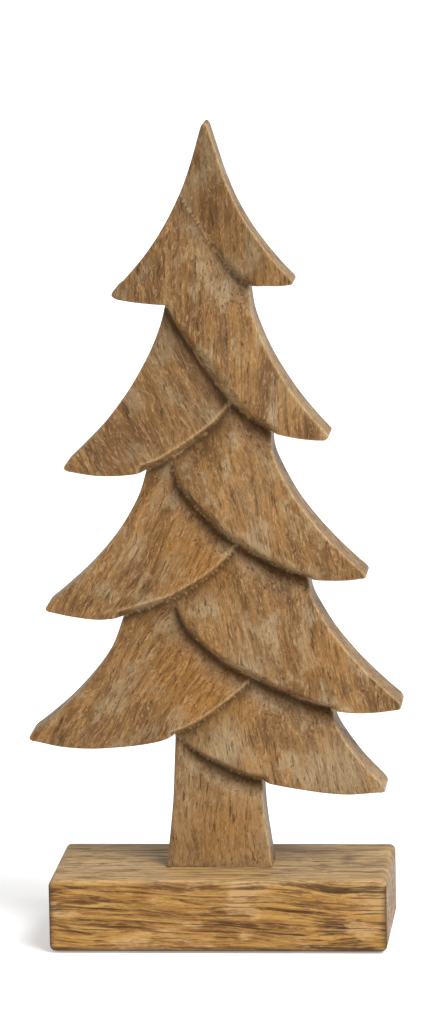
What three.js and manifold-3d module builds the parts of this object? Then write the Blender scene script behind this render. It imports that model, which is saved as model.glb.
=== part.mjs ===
// A carved wooden fir tree standing on a solid wooden block.
// Millimetres, +Z up, X across the face, the carved face looks towards -Y.
// The origin is on the ground, under the middle of the block.

import * as THREE from 'three';
import { mergeVertices, toCreasedNormals } from 'three/addons/utils/BufferGeometryUtils.js';
import Module from 'manifold-3d';

const wasm = await Module();
wasm.setup();

// ---- driving dimensions ----------------------------------------------------

// Block
const blockWidth = 160;
const blockDepth = 80;
const blockHeight = 34.4;
const blockEndRound = 3; // radius along the edges of the two end faces
const blockFaceRound = 1.2; // radius around the front and back faces

// Tree board
const boardThickness = 25;
const treeHeight = 355.4; // foot to apex
const treeWidth = 177.4; // tip to tip, over the two longest boughs

// Relief: how much deeper a face lies for each mm to the right and each mm up
const treetopLean = { across: -0.06, up: 0.03 };
const shoulderLean = { across: 0, up: 0.1 };
const rightLean = { across: 0.01, up: 0.13 };
const leftLean = { across: 0.075, up: 0.063 };
const trunkLean = { across: 0, up: 0.12 };
const treetopDepth = 3; // depth of the treetop's face at its tip
const trunkDepth = 0.5; // depth of the trunk's face at its foot

// Felt pads under the block
const padDiameter = 16;
const padThickness = 1;
const padInset = 14; // block side to pad centre

// Countersunk wood screws that hold the tree to the block
const screwLength = 50;
const screwDiameter = 4.2;
const screwHeadDiameter = 8.4;
const screwHeadHeight = 2.6;
const screwPointLength = 6;
const screwSpacing = 24;
const driveSlot = { length: 5, width: 1.1, depth: 1.6 };
const counterboreDepth = 6;
const clearance = 0.3; // radial, around each screw

// Tessellation
const roundSegments = 32;
const stepsPerSpan = 4; // along a bough's curved edge
const noseSteps = 5; // around the nose of a bough
const edgeSegments = 3; // across the block's eased front and back edges
const cornerSegments = 6; // around the block's end corners
const overshoot = 1; // how far a cutter runs past the face it opens

// ---- places worked out from them -------------------------------------------

const blockBottom = padThickness;
const blockTop = blockBottom + blockHeight;
const drawnHeight = 355.4; // the size that the outlines below are drawn at
const drawnWidth = 177.4;
const footLeft = -26.4;
const footRight = 23.9;
const footCentre = (footLeft + footRight) / 2 * treeWidth / drawnWidth;
const screwSeat = blockBottom + counterboreDepth; // underside of the screw heads
const screwHoleDiameter = screwDiameter + 2 * clearance;
const backwards = new THREE.Vector3(0, 1, 0);

// ---- the carved outlines -----------------------------------------------------
// Points are [across, up] from the top of the block, under the middle of the tree. Each bough is
// drawn from where it leaves the one above, down its upper side to its tip, and back along its
// lower edge. A curve runs through the points of a through, a nose is the corner that a tip
// rounds off, and a root is the part that lies under the boughs above.

const apexLeft = [[-4.7, 351.5], [-6.1, 346.7], [-9.8, 334.4], [-14.2, 322.6]];

const boughs = [
  { // treetop and first bough on the right
    lean: treetopLean,
    tipDepth: treetopDepth,
    outline: [
      { through: [[-14.6, 320.6], ...apexLeft.toReversed()] },
      { nose: [-2.9, 359.3] },
      { through: [[-0.7, 351.8], [1.9, 343.2], [5.8, 330.7], [11, 317.8], [17.3, 306.3],
        [24.1, 296.6], [31.8, 287.1], [36.5, 282.1]] },
      { nose: [39.8, 279] },
      { through: [[36.6, 278.4], [31.8, 277.8], [24.5, 277.8], [17.8, 277.6], [14, 279.4],
        [9.1, 284], [4.4, 290.3], [0.4, 296.9], [-7, 309], [-14.6, 320.6]] },
    ],
    tip: [39.6, 280.5],
  },
  { // first bough on the left and second on the right, one face
    lean: shoulderLean,
    tipDepth: 0,
    outline: [
      { through: [...apexLeft, [-20.6, 309.3], [-28, 297.6], [-35.9, 287.4], [-43.5, 278.8]] },
      { nose: [-50.7, 274.1] },
      { through: [[-43.6, 272.2], [-38.1, 271.2], [-30.9, 270.3], [-22.3, 269.6]] },
      { through: [[-22.3, 269.6], [-16.3, 257.8], [-6.9, 243.1], [-0.1, 232.6], [6.6, 223.5],
        [14.2, 217.2], [19.6, 212.8], [27, 208.6], [38.1, 206.3], [46.9, 205.2], [52, 205.1]] },
      { nose: [55.4, 206.9] },
      { through: [[53.2, 208.6], [45.9, 216.8], [37.1, 228.3], [27.9, 243.3], [21.8, 256.8],
        [18.6, 266.7], [17, 274.8], [17.4, 284]] },
      { root: [[10, 300], [0, 335]] },
    ],
    tip: [56, 208],
  },
  { // second on the left
    lean: leftLean,
    tipDepth: 0,
    outline: [
      { through: [[-22, 272], [-22.4, 268], [-24.7, 259.7], [-29.4, 248], [-37, 234.2],
        [-44.2, 223.4], [-52.9, 212.1], [-61.7, 202.9], [-68.5, 196.3]] },
      { nose: [-74.3, 191.6] },
      { through: [[-68, 190.7], [-62, 189.5], [-55.6, 188.7], [-46.7, 188.6], [-37.6, 189.4],
        [-32.6, 190.9], [-27, 192.8], [-22.5, 195.1], [-17.1, 198.7], [-11.8, 202.1],
        [-5.1, 207.4], [1, 212.9], [8.5, 222.5]] },
      { root: [[9, 236], [-5, 262], [-18, 276]] },
    ],
    tip: [-72, 192.5],
  },
  { // third on the right
    lean: rightLean,
    tipDepth: 0,
    outline: [
      { through: [[26.2, 210], [26.6, 204], [30.5, 191.2], [38, 177.2], [47, 165.1],
        [57.2, 153.8], [66.8, 144.6]] },
      { nose: [74, 139.2] },
      { through: [[68, 139.1], [61.7, 138.3], [52, 138.2], [43.3, 138.8], [30.7, 142.9],
        [20.9, 147.7], [14.2, 151.7], [8.3, 155.8], [2.4, 159.8], [-4.8, 167.3],
        [-11.9, 175.3], [-17.7, 184.1], [-20.9, 194.5]] },
      { root: [[-20, 206], [-4, 228], [14, 232]] },
    ],
    tip: [71.8, 141.5],
  },
  { // third on the left
    lean: leftLean,
    tipDepth: 0,
    outline: [
      { through: [[-32.6, 192], [-33.4, 187], [-35.9, 180.1], [-42.1, 168.5], [-50, 156.6],
        [-60.8, 144.3], [-71.7, 134.3], [-79.3, 128]] },
      { nose: [-84, 124.4] },
      { through: [[-78.9, 123.4], [-69.5, 121.3], [-56.7, 119.7], [-44.7, 120.8], [-32.6, 124.8],
        [-22.5, 128.2], [-13.1, 133.5], [-5, 138.9], [2.5, 145.6], [10.2, 154.6]] },
      { root: [[10, 166], [-4, 182], [-16, 204], [-28, 196]] },
    ],
    tip: [-83, 125.5],
  },
  { // fourth on the right
    lean: rightLean,
    tipDepth: 0,
    outline: [
      { through: [[42.8, 140], [43.7, 134], [48, 123.8], [55.5, 111.6], [66.5, 98.3], [78.2, 86.7],
        [85.3, 80.5]] },
      { nose: [88.5, 76] },
      { through: [[85, 76.3], [74.8, 74.8], [64, 74.5], [53.8, 75.6], [45.5, 77.4], [36.6, 81],
        [25.5, 85.6], [14.5, 91.4], [5.1, 95.8], [-1.3, 100.6], [-9.2, 108], [-15.8, 115.5],
        [-20.9, 126.5]] },
      { root: [[-20, 138], [-2, 158], [16, 166]] },
    ],
    tip: [88.8, 77],
  },
  { // fourth on the left
    lean: leftLean,
    tipDepth: 0,
    outline: [
      { through: [[-44.6, 122], [-45.6, 117.5], [-49.4, 108.6], [-57.2, 95.8], [-69.6, 81.7],
        [-82, 70.8], [-88.3, 66]] },
      { nose: [-93.5, 61.8] },
      { through: [[-87.3, 61], [-75.4, 58.4], [-60.6, 57.4], [-42, 58.6], [-28.3, 60.9],
        [-21.8, 63.8], [-15.1, 66.2], [-8.3, 70.1], [-1.5, 74.8], [5.1, 80.2], [14.6, 88.6]] },
      { root: [[16, 100], [2, 116], [-14, 132], [-36, 128]] },
    ],
    tip: [-92, 63],
  },
  { // fifth on the right
    lean: rightLean,
    tipDepth: 0,
    outline: [
      { through: [[53.2, 77], [54.8, 70], [59.2, 61.8], [67.3, 50.8], [75.6, 41.9]] },
      { nose: [81.7, 35.8] },
      { through: [[75, 36.2], [62, 35.2], [52, 35.7], [43.5, 36.8], [30.9, 38.9], [20, 41],
        [12.2, 42.8], [4.9, 45.8], [-4.7, 50.9], [-11.9, 55.4], [-20.2, 62.3]] },
      { root: [[-19, 74], [0, 92], [20, 100]] },
    ],
    tip: [79.8, 39.2],
  },
];

const trunk = {
  lean: trunkLean,
  tipDepth: trunkDepth,
  outline: [
    { through: [[footRight, 0], [22.4, 10.4], [21.1, 19.7], [20.2, 29], [19.6, 42]] },
    { root: [[16, 52], [0, 66], [-18, 76]] },
    { through: [[-21.4, 64], [-21.8, 52.9], [-22.8, 34], [-23.9, 22.6], [footLeft, 0]] },
  ],
  tip: [0, 0],
};

// ---- materials ---------------------------------------------------------------

const carvedWood = new THREE.MeshStandardMaterial({ color: 0x96724a, roughness: 0.5, metalness: 0 });
const blockWood = new THREE.MeshStandardMaterial({ color: 0xa27a4c, roughness: 0.5, metalness: 0 });
const screwSteel = new THREE.MeshStandardMaterial({ color: 0xb9b6ac, roughness: 0.35, metalness: 1 });
const padFelt = new THREE.MeshStandardMaterial({ color: 0x4a3b2e, roughness: 1, metalness: 0 });

// ---- solids --------------------------------------------------------------------

// A closed geometry as a manifold solid.
function solid(geometry) {
  const bare = geometry.index ? geometry.toNonIndexed() : geometry.clone();
  bare.deleteAttribute('normal');
  bare.deleteAttribute('uv');
  const merged = mergeVertices(bare, 1e-4);
  return new wasm.Manifold(new wasm.Mesh({
    numProp: 3,
    vertProperties: new Float32Array(merged.attributes.position.array),
    triVerts: new Uint32Array(merged.index.array),
  }));
}

// A manifold solid as a named mesh.
function meshOf(body, name, material) {
  const { vertProperties, triVerts } = body.getMesh();
  const geometry = new THREE.BufferGeometry();
  geometry.setAttribute('position', new THREE.BufferAttribute(new Float32Array(vertProperties), 3));
  geometry.setIndex(new THREE.BufferAttribute(new Uint32Array(triVerts), 1));
  return named(toCreasedNormals(geometry, Math.PI / 6), name, material);
}

function named(geometry, name, material) {
  const mesh = new THREE.Mesh(geometry, material);
  mesh.name = name;
  return mesh;
}

// A drawn point at the size of this tree.
function sized([across, up]) {
  return new THREE.Vector2(across * treeWidth / drawnWidth, up * treeHeight / drawnHeight);
}

// Walks an outline's stretches into one closed list of points.
function outlinePoints(outline) {
  const points = [];
  outline.forEach((stretch, i) => {
    if (stretch.through) {
      const curve = new THREE.SplineCurve(stretch.through.map(sized));
      points.push(...curve.getPoints((stretch.through.length - 1) * stepsPerSpan));
    } else if (stretch.nose) {
      const next = sized(outline[(i + 1) % outline.length].through[0]);
      const nose = new THREE.QuadraticBezierCurve(points[points.length - 1], sized(stretch.nose), next);
      points.push(...nose.getPoints(noseSteps).slice(1, -1));
    } else {
      points.push(...stretch.root.map(sized));
    }
  });
  return points.filter((p, i) => p.distanceTo(points[(i + 1) % points.length]) > 1e-3);
}

// An upright slab with a drawn outline, from the board's front plane to its back plane.
function slab(outline) {
  const shape = new THREE.Shape(outlinePoints(outline));
  const geometry = new THREE.ExtrudeGeometry(shape, { depth: boardThickness, bevelEnabled: false });
  geometry.rotateX(Math.PI / 2);
  geometry.translate(0, boardThickness / 2, 0);
  return solid(geometry);
}

// Everything in front of a bough's face, which leans back from its tip.
function inFrontOf({ lean, tipDepth, tip }) {
  const reach = 2 * (treeHeight + treeWidth);
  const at = sized(tip);
  const onFace = new THREE.Vector3(at.x, tipDepth - boardThickness / 2, at.y);
  const inward = new THREE.Vector3(-lean.across, 1, -lean.up).normalize();
  const geometry = new THREE.BoxGeometry(reach, reach, reach);
  geometry.applyQuaternion(new THREE.Quaternion().setFromUnitVectors(backwards, inward));
  geometry.translate(...onFace.addScaledVector(inward, -reach / 2).toArray());
  return solid(geometry);
}

// A vertical cylinder between two heights.
function postSolid(diameter, from, to, x) {
  const radius = diameter / 2;
  const geometry = new THREE.CylinderGeometry(radius, radius, to - from, roundSegments);
  geometry.rotateX(Math.PI / 2);
  geometry.translate(x, 0, (from + to) / 2);
  return solid(geometry);
}

const screwPlaces = [-screwSpacing / 2, screwSpacing / 2].map((offset) => footCentre + offset);

// ---- pieces ----------------------------------------------------------------------

// The board: each bough laps over the ones below it, and the trunk stands under them all.
function makeTree() {
  let board = slab(trunk.outline).subtract(inFrontOf(trunk));
  for (const bough of boughs) {
    board = board.add(slab(bough.outline).subtract(inFrontOf(bough)));
  }
  board = board.translate([0, 0, blockTop]);
  const holeTop = screwSeat + screwLength + clearance;
  for (const x of screwPlaces) {
    board = board.subtract(postSolid(screwHoleDiameter, blockTop - overshoot, holeTop, x));
  }
  return meshOf(board, 'tree', carvedWood);
}

// The block: a rounded front view, extruded from front to back with eased edges.
function makeBlock() {
  const halfWidth = blockWidth / 2 - blockFaceRound;
  const halfHeight = blockHeight / 2 - blockFaceRound;
  const round = blockEndRound - blockFaceRound;
  const shape = new THREE.Shape();
  shape.moveTo(halfWidth, -halfHeight + round);
  shape.absarc(halfWidth - round, halfHeight - round, round, 0, Math.PI / 2);
  shape.absarc(-halfWidth + round, halfHeight - round, round, Math.PI / 2, Math.PI);
  shape.absarc(-halfWidth + round, -halfHeight + round, round, Math.PI, 1.5 * Math.PI);
  shape.absarc(halfWidth - round, -halfHeight + round, round, 1.5 * Math.PI, 2 * Math.PI);
  const geometry = new THREE.ExtrudeGeometry(shape, {
    depth: blockDepth - 2 * blockFaceRound,
    bevelThickness: blockFaceRound,
    bevelSize: blockFaceRound,
    bevelSegments: edgeSegments,
    curveSegments: cornerSegments,
  });
  geometry.rotateX(Math.PI / 2);
  geometry.translate(0, blockDepth / 2 - blockFaceRound, blockBottom + blockHeight / 2);
  let block = solid(geometry);
  for (const x of screwPlaces) {
    const bore = postSolid(screwHoleDiameter, blockBottom, blockTop + overshoot, x);
    block = block.subtract(bore.add(screwSink(x)));
  }
  return meshOf(block, 'base_block', blockWood);
}

// The counterbore under a screw head and the conical seat around it, as one cutter.
function screwSink(x) {
  const outer = screwHeadDiameter / 2 + clearance;
  const inner = screwHoleDiameter / 2;
  const mouth = -counterboreDepth - overshoot;
  const throat = screwHeadHeight + clearance;
  const profile = [[0, mouth], [outer, mouth], [outer, clearance], [inner, throat], [0, throat]];
  return solid(turned(profile)).translate([x, 0, screwSeat]);
}

// A profile of [radius, height] turned about the vertical axis.
function turned(profile) {
  const corners = profile.map(([radius, height]) => new THREE.Vector2(radius, height));
  const geometry = new THREE.LatheGeometry(corners, roundSegments);
  geometry.rotateX(Math.PI / 2);
  return geometry;
}

// A countersunk wood screw, point up, with a cross slot in the underside of its head.
function makeScrew(name, x) {
  const shank = screwDiameter / 2;
  const profile = [[0, 0], [screwHeadDiameter / 2, 0], [shank, screwHeadHeight],
    [shank, screwLength - screwPointLength], [0, screwLength]];
  let screw = solid(turned(profile));
  for (const quarter of [0, Math.PI / 2]) {
    const slot = new THREE.BoxGeometry(driveSlot.length, driveSlot.width, 2 * driveSlot.depth);
    slot.rotateZ(quarter);
    screw = screw.subtract(solid(slot));
  }
  const mesh = meshOf(screw, name, screwSteel);
  mesh.position.set(x, 0, screwSeat);
  return mesh;
}

// A round felt pad on the ground.
function makePad(name, x, y) {
  const radius = padDiameter / 2;
  const geometry = new THREE.CylinderGeometry(radius, radius, padThickness, roundSegments);
  geometry.rotateX(Math.PI / 2);
  const mesh = named(geometry, name, padFelt);
  mesh.position.set(x, y, padThickness / 2);
  return mesh;
}

// ---- assembly --------------------------------------------------------------------

const carvedTree = new THREE.Group();
carvedTree.add(makeTree(), makeBlock());
carvedTree.add(makeScrew('screw_left', screwPlaces[0]), makeScrew('screw_right', screwPlaces[1]));

const padX = blockWidth / 2 - padInset;
const padY = blockDepth / 2 - padInset;
carvedTree.add(
  makePad('pad_front_left', -padX, -padY),
  makePad('pad_front_right', padX, -padY),
  makePad('pad_back_left', -padX, padY),
  makePad('pad_back_right', padX, padY),
);

export default carvedTree;
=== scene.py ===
"""A carved wooden fir tree on a wooden block, made in detail around its CAD model."""

import math

import bmesh
import bpy
import numpy as np
from mathutils import Matrix, Vector, kdtree
from mathutils.geometry import delaunay_2d_cdt


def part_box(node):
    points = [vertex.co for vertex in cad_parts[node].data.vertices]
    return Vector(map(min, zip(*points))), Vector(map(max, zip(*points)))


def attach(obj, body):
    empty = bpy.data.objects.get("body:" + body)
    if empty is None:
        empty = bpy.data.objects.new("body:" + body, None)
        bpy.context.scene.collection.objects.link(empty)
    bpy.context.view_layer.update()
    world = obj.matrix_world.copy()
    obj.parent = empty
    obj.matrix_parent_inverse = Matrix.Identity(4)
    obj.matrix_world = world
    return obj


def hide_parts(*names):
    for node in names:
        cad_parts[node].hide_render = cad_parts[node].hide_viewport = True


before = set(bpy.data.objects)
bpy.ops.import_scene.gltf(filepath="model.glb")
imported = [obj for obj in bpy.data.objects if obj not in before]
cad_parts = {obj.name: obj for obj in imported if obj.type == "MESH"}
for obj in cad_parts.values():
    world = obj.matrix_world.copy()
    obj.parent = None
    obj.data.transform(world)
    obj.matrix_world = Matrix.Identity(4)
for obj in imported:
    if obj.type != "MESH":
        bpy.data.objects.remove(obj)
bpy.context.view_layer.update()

# ---- driving sizes, in mm unless they say otherwise ----

MM = 0.001  # metres
SEED = 7

EDGE_EASE = 0.8  # radius that the sawn outline is sanded to
FOOT_EASE = 0.25  # along the tree's foot
OUTLINE_STEP = 1.0
NOSE_STEP = 0.5
FACE_STEP = 0.95  # spacing of the points over the carved face
CREASE_STEP = 1.0
BACK_STEP = 4.0
BLOCK_STEP = 1.6
EASE_ROWS = 4
WALL_ROWS = 5

SCOOP_REACH = 25.0  # how far below a crease the next face is hollowed
SCOOP_POWER = 2.6
TOOL_WAVE = 0.14  # height of the shallow waves that sanding leaves
UNDER_EASE = 1.4 * EDGE_EASE  # a bough's under edge is sanded rounder than its crown
TRUNK_RIGHT_EASE = 1.2 * EDGE_EASE
TRUNK_LEFT_EASE = 2.6 * EDGE_EASE

EDGE_WEAR_AND_HIGHLIGHT = 0.6  # width of the pale edge, part wear and part painted highlight
# width of the painted highlight along each crease, at the foot of its strip
CREASE_HIGHLIGHT = 0.7
FOOT_LINE = 0.9  # height of the painted shadow line where the tree meets the block
REGION_MARGIN = 6.0  # how far past the outline a face's region reaches
REGION_STEP = 2.0
DEEP_STEP = 5.5  # a step this deep gets its full painted shade
SLOPE_SHADE = 0.4  # strength of the painted shade on the cut slope above a crease
GRAIN_SHIFT = (173, 61)  # from one bough's grain to the next's, along it and across it

BLOCK_END_EASE = 2.9  # radius along the edges of the block's end faces
BLOCK_FACE_EASE = 1.2  # radius around its front and back faces
GRAIN_TILT = -2.8  # degrees that the block's grain leaves level
KNOT = (59.0, 8.0)  # [across, in] on top of the block
KNOT_RADIUS = 3.5
KNOT_REACH = 9.0  # how far from its middle the knot parts the grain
TINT_REACH = 1.5  # how far the tints of the block's faces run past its edges
BLOCK_CORNER_POINTS = 7
BLOCK_OUTLINE_STEP = 0.9

SINK_RADIUS = 4.5  # counterbore under each screw head
SINK_BEVEL = 0.3
SEAT_GAP = 0.3
HOLE_RADIUS = 2.4
HEAD_HEIGHT = 2.6
HEAD_RIM = 0.35  # height of the straight edge of a screw's head
SHANK_RADIUS = 2.0
CORE_RADIUS = 1.35
THREAD_FROM = 17.0  # height above the head's underside where the thread starts
THREAD_PITCH = 1.8
POINT_LENGTH = 7.0
SLOT_LENGTH = 4.8
SLOT_WIDTH = 1.0
SLOT_DEPTH = 1.5
SLOT_TURN = 20  # degrees
SCREW_STEP = 0.18
SCREW_SIDES = 36

PAD_SIDES = 96
PAD_FIBRES = 160

CAMERA_AZIMUTH = 4.986  # degrees
CAMERA_ELEVATION = 9.544
CAMERA_ROLL = -1.05
CAMERA_DISTANCE = 2842.1
CAMERA_TARGET = (-0.66, 0.0, 204.86)
CAMERA_LENS = 211.2

WORLD_STRENGTH = 0.55
SUN_STRENGTH = 3.3
SUN_SPREAD = 35  # degrees
SUN_FROM = (0.55, -0.5, 0.8)
FLOOR_GLOW = 0.3
FLOOR_HALF = 30.0  # metres

# ---- places taken from the frame ----

SCREWS = ("screw_left", "screw_right")
PADS = ("pad_front_left", "pad_front_right", "pad_back_left", "pad_back_right")


def node_box(node):
    """Lowest and highest corner of a CAD node, in mm."""
    return tuple(np.array(corner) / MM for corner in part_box(node))


block_low, block_high = node_box("base_block")
tree_low, tree_high = node_box("tree")
BLOCK_TOP = block_high[2]
BOARD_FRONT, BOARD_BACK = tree_low[1], tree_high[1]

screw_low, screw_high = node_box(SCREWS[0])
screw_seat, screw_end = screw_low[2], screw_high[2]
head_radius = (screw_high[0] - screw_low[0]) / 2
screw_places = [(node_box(node)[0][0] + node_box(node)[1][0]) / 2 for node in SCREWS]

# ---- the carved outline ----
# Points are [across, up] from the top of the block. A bough's crown runs from the notch above
# it down to its tip, its nose is the corner that the tip rounds off, and its under edge runs
# back to the notch below.

APEX_NOSE = (-2.8, 357.5)

RIGHT_EDGES = [
    {
        "crown": [(-0.7, 351.8), (1.9, 343.2), (5.8, 330.7), (11.0, 317.8), (17.3, 306.3),
                  (24.1, 296.6), (31.8, 287.1), (36.5, 282.1)],
        "nose": (39.8, 279.0),
        "under": [(36.6, 278.4), (31.8, 277.8), (24.5, 277.8), (17.2, 277.5)],
    },
    {
        "crown": [(17.2, 277.5), (18.6, 266.7), (21.8, 256.8), (27.9, 243.3), (37.1, 228.3),
                  (45.9, 216.8), (53.2, 208.6)],
        "nose": (55.4, 206.9),
        "under": [(52.0, 205.1), (46.9, 205.2), (38.1, 206.3), (26.5, 208.8)],
    },
    {
        "crown": [(26.5, 208.8), (27.2, 200.0), (30.5, 191.2), (38.0, 177.2), (47.0, 165.1),
                  (57.2, 153.8), (66.8, 144.6)],
        "nose": (74.0, 139.2),
        "under": [(68.0, 139.1), (61.7, 138.3), (52.0, 138.2), (42.9, 138.8)],
    },
    {
        "crown": [(42.9, 138.8), (44.4, 131.2), (48.0, 123.8), (55.5, 111.6), (66.5, 98.3),
                  (78.2, 86.7), (85.3, 80.5)],
        "nose": (88.5, 76.0),
        "under": [(83.2, 75.9), (74.8, 74.8), (64.0, 74.5), (53.3, 75.7)],
    },
    {
        "crown": [(53.3, 75.7), (55.0, 69.3), (59.2, 61.8), (67.3, 50.8), (75.6, 41.9)],
        "nose": (81.7, 35.8),
        "under": [(75.0, 36.2), (62.0, 35.2), (52.0, 35.7), (43.5, 36.8), (30.9, 38.9), (19.7, 41.2)],
    },
]

LEFT_EDGES = [
    {
        "crown": [(-4.7, 351.5), (-6.1, 346.7), (-9.8, 334.4), (-14.2, 322.6), (-20.6, 309.3),
                  (-28.0, 297.6), (-35.9, 287.4), (-43.5, 278.8)],
        "nose": (-50.7, 274.1),
        "under": [(-43.6, 272.2), (-38.1, 271.2), (-30.9, 270.3), (-22.3, 269.6)],
    },
    {
        "crown": [(-22.3, 269.6), (-24.7, 259.7), (-29.4, 248.0), (-37.0, 234.2), (-44.2, 223.4),
                  (-52.9, 212.1), (-61.7, 202.9), (-68.5, 196.3)],
        "nose": (-74.3, 191.6),
        "under": [(-68, 190.7), (-62.0, 189.5), (-55.6, 188.7), (-46.7, 188.6), (-37.6, 189.4),
                  (-32.7, 190.9)],
    },
    {
        "crown": [(-32.7, 190.9), (-35.9, 180.1), (-42.1, 168.5), (-50.0, 156.6),
                  (-60.8, 144.3), (-71.7, 134.3), (-79.3, 128.0)],
        "nose": (-84.0, 124.4),
        "under": [(-78.9, 123.4), (-69.5, 121.3), (-56.7, 119.7), (-45, 120.8)],
    },
    {
        "crown": [(-45, 120.8), (-49.4, 108.6), (-57.2, 95.8), (-69.6, 81.7), (-82.0, 70.8),
                  (-88.3, 66.0)],
        "nose": (-93.5, 61.8),
        "under": [(-87.3, 61.0), (-75.4, 58.4), (-60.6, 57.4), (-42.0, 58.6), (-28.3, 60.9),
                  (-21.5, 63.9)],
    },
]

TRUNK_RIGHT = [(19.7, 41.2), (20.2, 29.0), (21.1, 19.7), (22.4, 10.4), (23.9, 0)]
TRUNK_LEFT = [(-26.4, 0), (-23.9, 22.6), (-22.8, 34.0), (-21.8, 52.9), (-21.5, 63.9)]

# Each face laps over the ones after it. Its crease runs on from the notch across the board.
# drop is how deep the crease lies behind the board's front, strip is how wide the cut slope
# above it is, both at the notch, half way and at the inner end. root closes the face behind its
# bough. depth is how far in the face lies at its tip, and lean how it deepens per mm across and
# up. grain is the lean of the grain from upright, in degrees to the right, tone runs from dark
# (-1) to pale (1), and a face may set its own strength for the painted shade on its cut slope.
FACES = [
    {  # treetop
        "right": 0, "left": None,
        "crease": [(17.2, 277.5), (14, 279.4), (9.1, 284), (4.4, 290.3), (0.4, 296.9),
                   (-7, 309), (-14.6, 320.6)],
        "root": [(-17, 330), (-8, 362)],
        "drop": (8.6, 7.0, 7.0), "strip": (4.8, 2.4, 1.0),
        "depth": 3.0, "lean": (-0.06, 0.03), "grain": -4, "tone": -0.45, "slope_shade": 1.2,
    },
    {  # shoulder
        "right": 1, "left": 0,
        "crease": [(26.5, 208.8), (19.6, 212.8), (14.2, 217.2), (6.6, 223.5), (-0.1, 232.6),
                   (-6.9, 243.1), (-16.3, 257.8), (-22.3, 269.6)],
        "root": [(10, 300), (0, 335)],
        "drop": (9.0, 7.5, 5.5), "strip": (4.0, 7.0, 1.0),
        "depth": 0.0, "lean": (0.0, 0.01), "grain": 3, "tone": 0.1,
    },
    {  # second left
        "right": None, "left": 1,
        "crease": [(-32.7, 190.9), (-27, 192.8), (-22.5, 195.1), (-17.1, 198.7),
                   (-11.8, 202.1), (-5.1, 207.4), (1, 212.9), (8.5, 222.5)],
        "root": [(9, 236), (-5, 262), (-18, 276)],
        "drop": (6.0, 5.0, 6.5), "strip": (3.8, 3.4, 1.3),
        "depth": 0.0, "lean": (0.012, 0.01), "grain": -23, "tone": -0.55,
    },
    {  # third right
        "right": 2, "left": None,
        "crease": [(42.9, 138.8), (30.7, 142.9), (20.9, 147.7), (14.2, 151.7), (8.3, 155.8),
                   (2.4, 159.8), (-4.8, 167.3), (-11.9, 175.3), (-17.7, 184.1),
                   (-20.9, 194.5)],
        "root": [(-20, 206), (-4, 228), (14, 232)],
        "drop": (9.0, 8.5, 6.0), "strip": (3.6, 5.0, 2.0),
        "depth": 0.0, "lean": (0.0, 0.01), "grain": -14, "tone": 0.0,
    },
    {  # third left
        "right": None, "left": 2,
        "crease": [(-45, 120.8), (-32.6, 124.8), (-22.5, 128.2), (-13.1, 133.5), (-5, 138.9),
                   (2.5, 145.6), (10.2, 154.6)],
        "root": [(10, 166), (-4, 182), (-16, 204), (-28, 196)],
        "drop": (6.0, 5.0, 6.5), "strip": (3.8, 3.0, 1.2),
        "depth": 0.0, "lean": (0.012, 0.01), "grain": 28, "tone": -0.35,
    },
    {  # fourth right
        "right": 3, "left": None,
        "crease": [(53.3, 75.7), (45.5, 77.4), (36.6, 81), (25.5, 85.6), (14.5, 91.4),
                   (5.1, 95.8), (-1.3, 100.6), (-9.2, 108), (-15.8, 115.5), (-20.9, 126.5)],
        "root": [(-20, 138), (-2, 158), (16, 166)],
        "drop": (9.0, 8.5, 6.0), "strip": (3.2, 4.6, 2.0),
        "depth": 0.0, "lean": (0.0, 0.01), "grain": -12, "tone": 0.1,
    },
    {  # fourth left
        "right": None, "left": 3,
        "crease": [(-21.5, 63.9), (-15.1, 66.2), (-8.3, 70.1), (-1.5, 74.8), (5.1, 80.2),
                   (14.6, 88.6)],
        "root": [(16, 100), (2, 116), (-14, 132), (-36, 128)],
        "drop": (5.5, 4.5, 6.5), "strip": (2.4, 2.0, 1.0),
        "depth": 0.0, "lean": (0.012, 0.01), "grain": 32, "tone": -0.4,
    },
    {  # fifth right
        "right": 4, "left": None,
        "crease": [(19.7, 41.2), (12.2, 42.8), (4.9, 45.8), (-4.7, 50.9), (-11.9, 55.4),
                   (-20.2, 62.3)],
        "root": [(-19, 74), (0, 92), (20, 100)],
        "drop": (9.0, 8.5, 5.0), "strip": (3.8, 3.4, 1.0),
        "depth": 0.0, "lean": (0.0, 0.01), "grain": -10, "tone": 0.3,
    },
]
TRUNK_FACE = {"depth": 2.5, "foot_depth": 0.8, "flare": 11.0, "grain": 1, "tone": 0.6}
TRUNK_STEP = np.array([(-1.5, 43.0), (4.5, 41.2), (12.5, 37.1)])  # a chisel mark on the trunk
STEP_HEIGHT = 1.3
STEP_REACH = 4.0

# Patches of other colour on the wood, the pale and dark ones partly painted light and shade on
# the faces: [across, up, radius, strength].
WARM_PATCHES = [(0, 20, 22, 0.9), (-5, 146, 13, 0.9), (-6, 82, 16, 1.0), (6, 78, 10, 0.8),
                (-16, 93, 16, 1.0), (-17, 155, 14, 0.7),
                (44, 100, 12, 0.5), (0, 300, 8, 0.4), (30, 170, 10, 0.3)]
PALE_PATCHES = [(13, 95, 14, 0.8), (4, 60, 12, 0.8), (6, 155, 10, 0.7), (-64, 76, 14, 0.5),
                (38, 230, 12, 0.5), (57, 48, 14, 0.8), (-14, 280, 12, 0.4), (18, 178, 14, 0.4)]
DARK_PATCHES = [(-34, 286, 26, 1.1), (-14, 304, 16, 0.5), (-60, 78, 18, 0.4), (-16, 95, 14, 0.6),
                (-17, 156, 14, 0.4), (26, 68, 14, 0.6), (-50, 205, 16, 0.4), (-66, 134, 14, 0.4),
                (14, 330, 16, 0.3)]

random = np.random.default_rng(SEED)

# ---- lines ----


def unit(vectors):
    """Vectors of length one, in the same directions."""
    return vectors / np.maximum(np.linalg.norm(vectors, axis=-1, keepdims=True), 1e-9)


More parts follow.
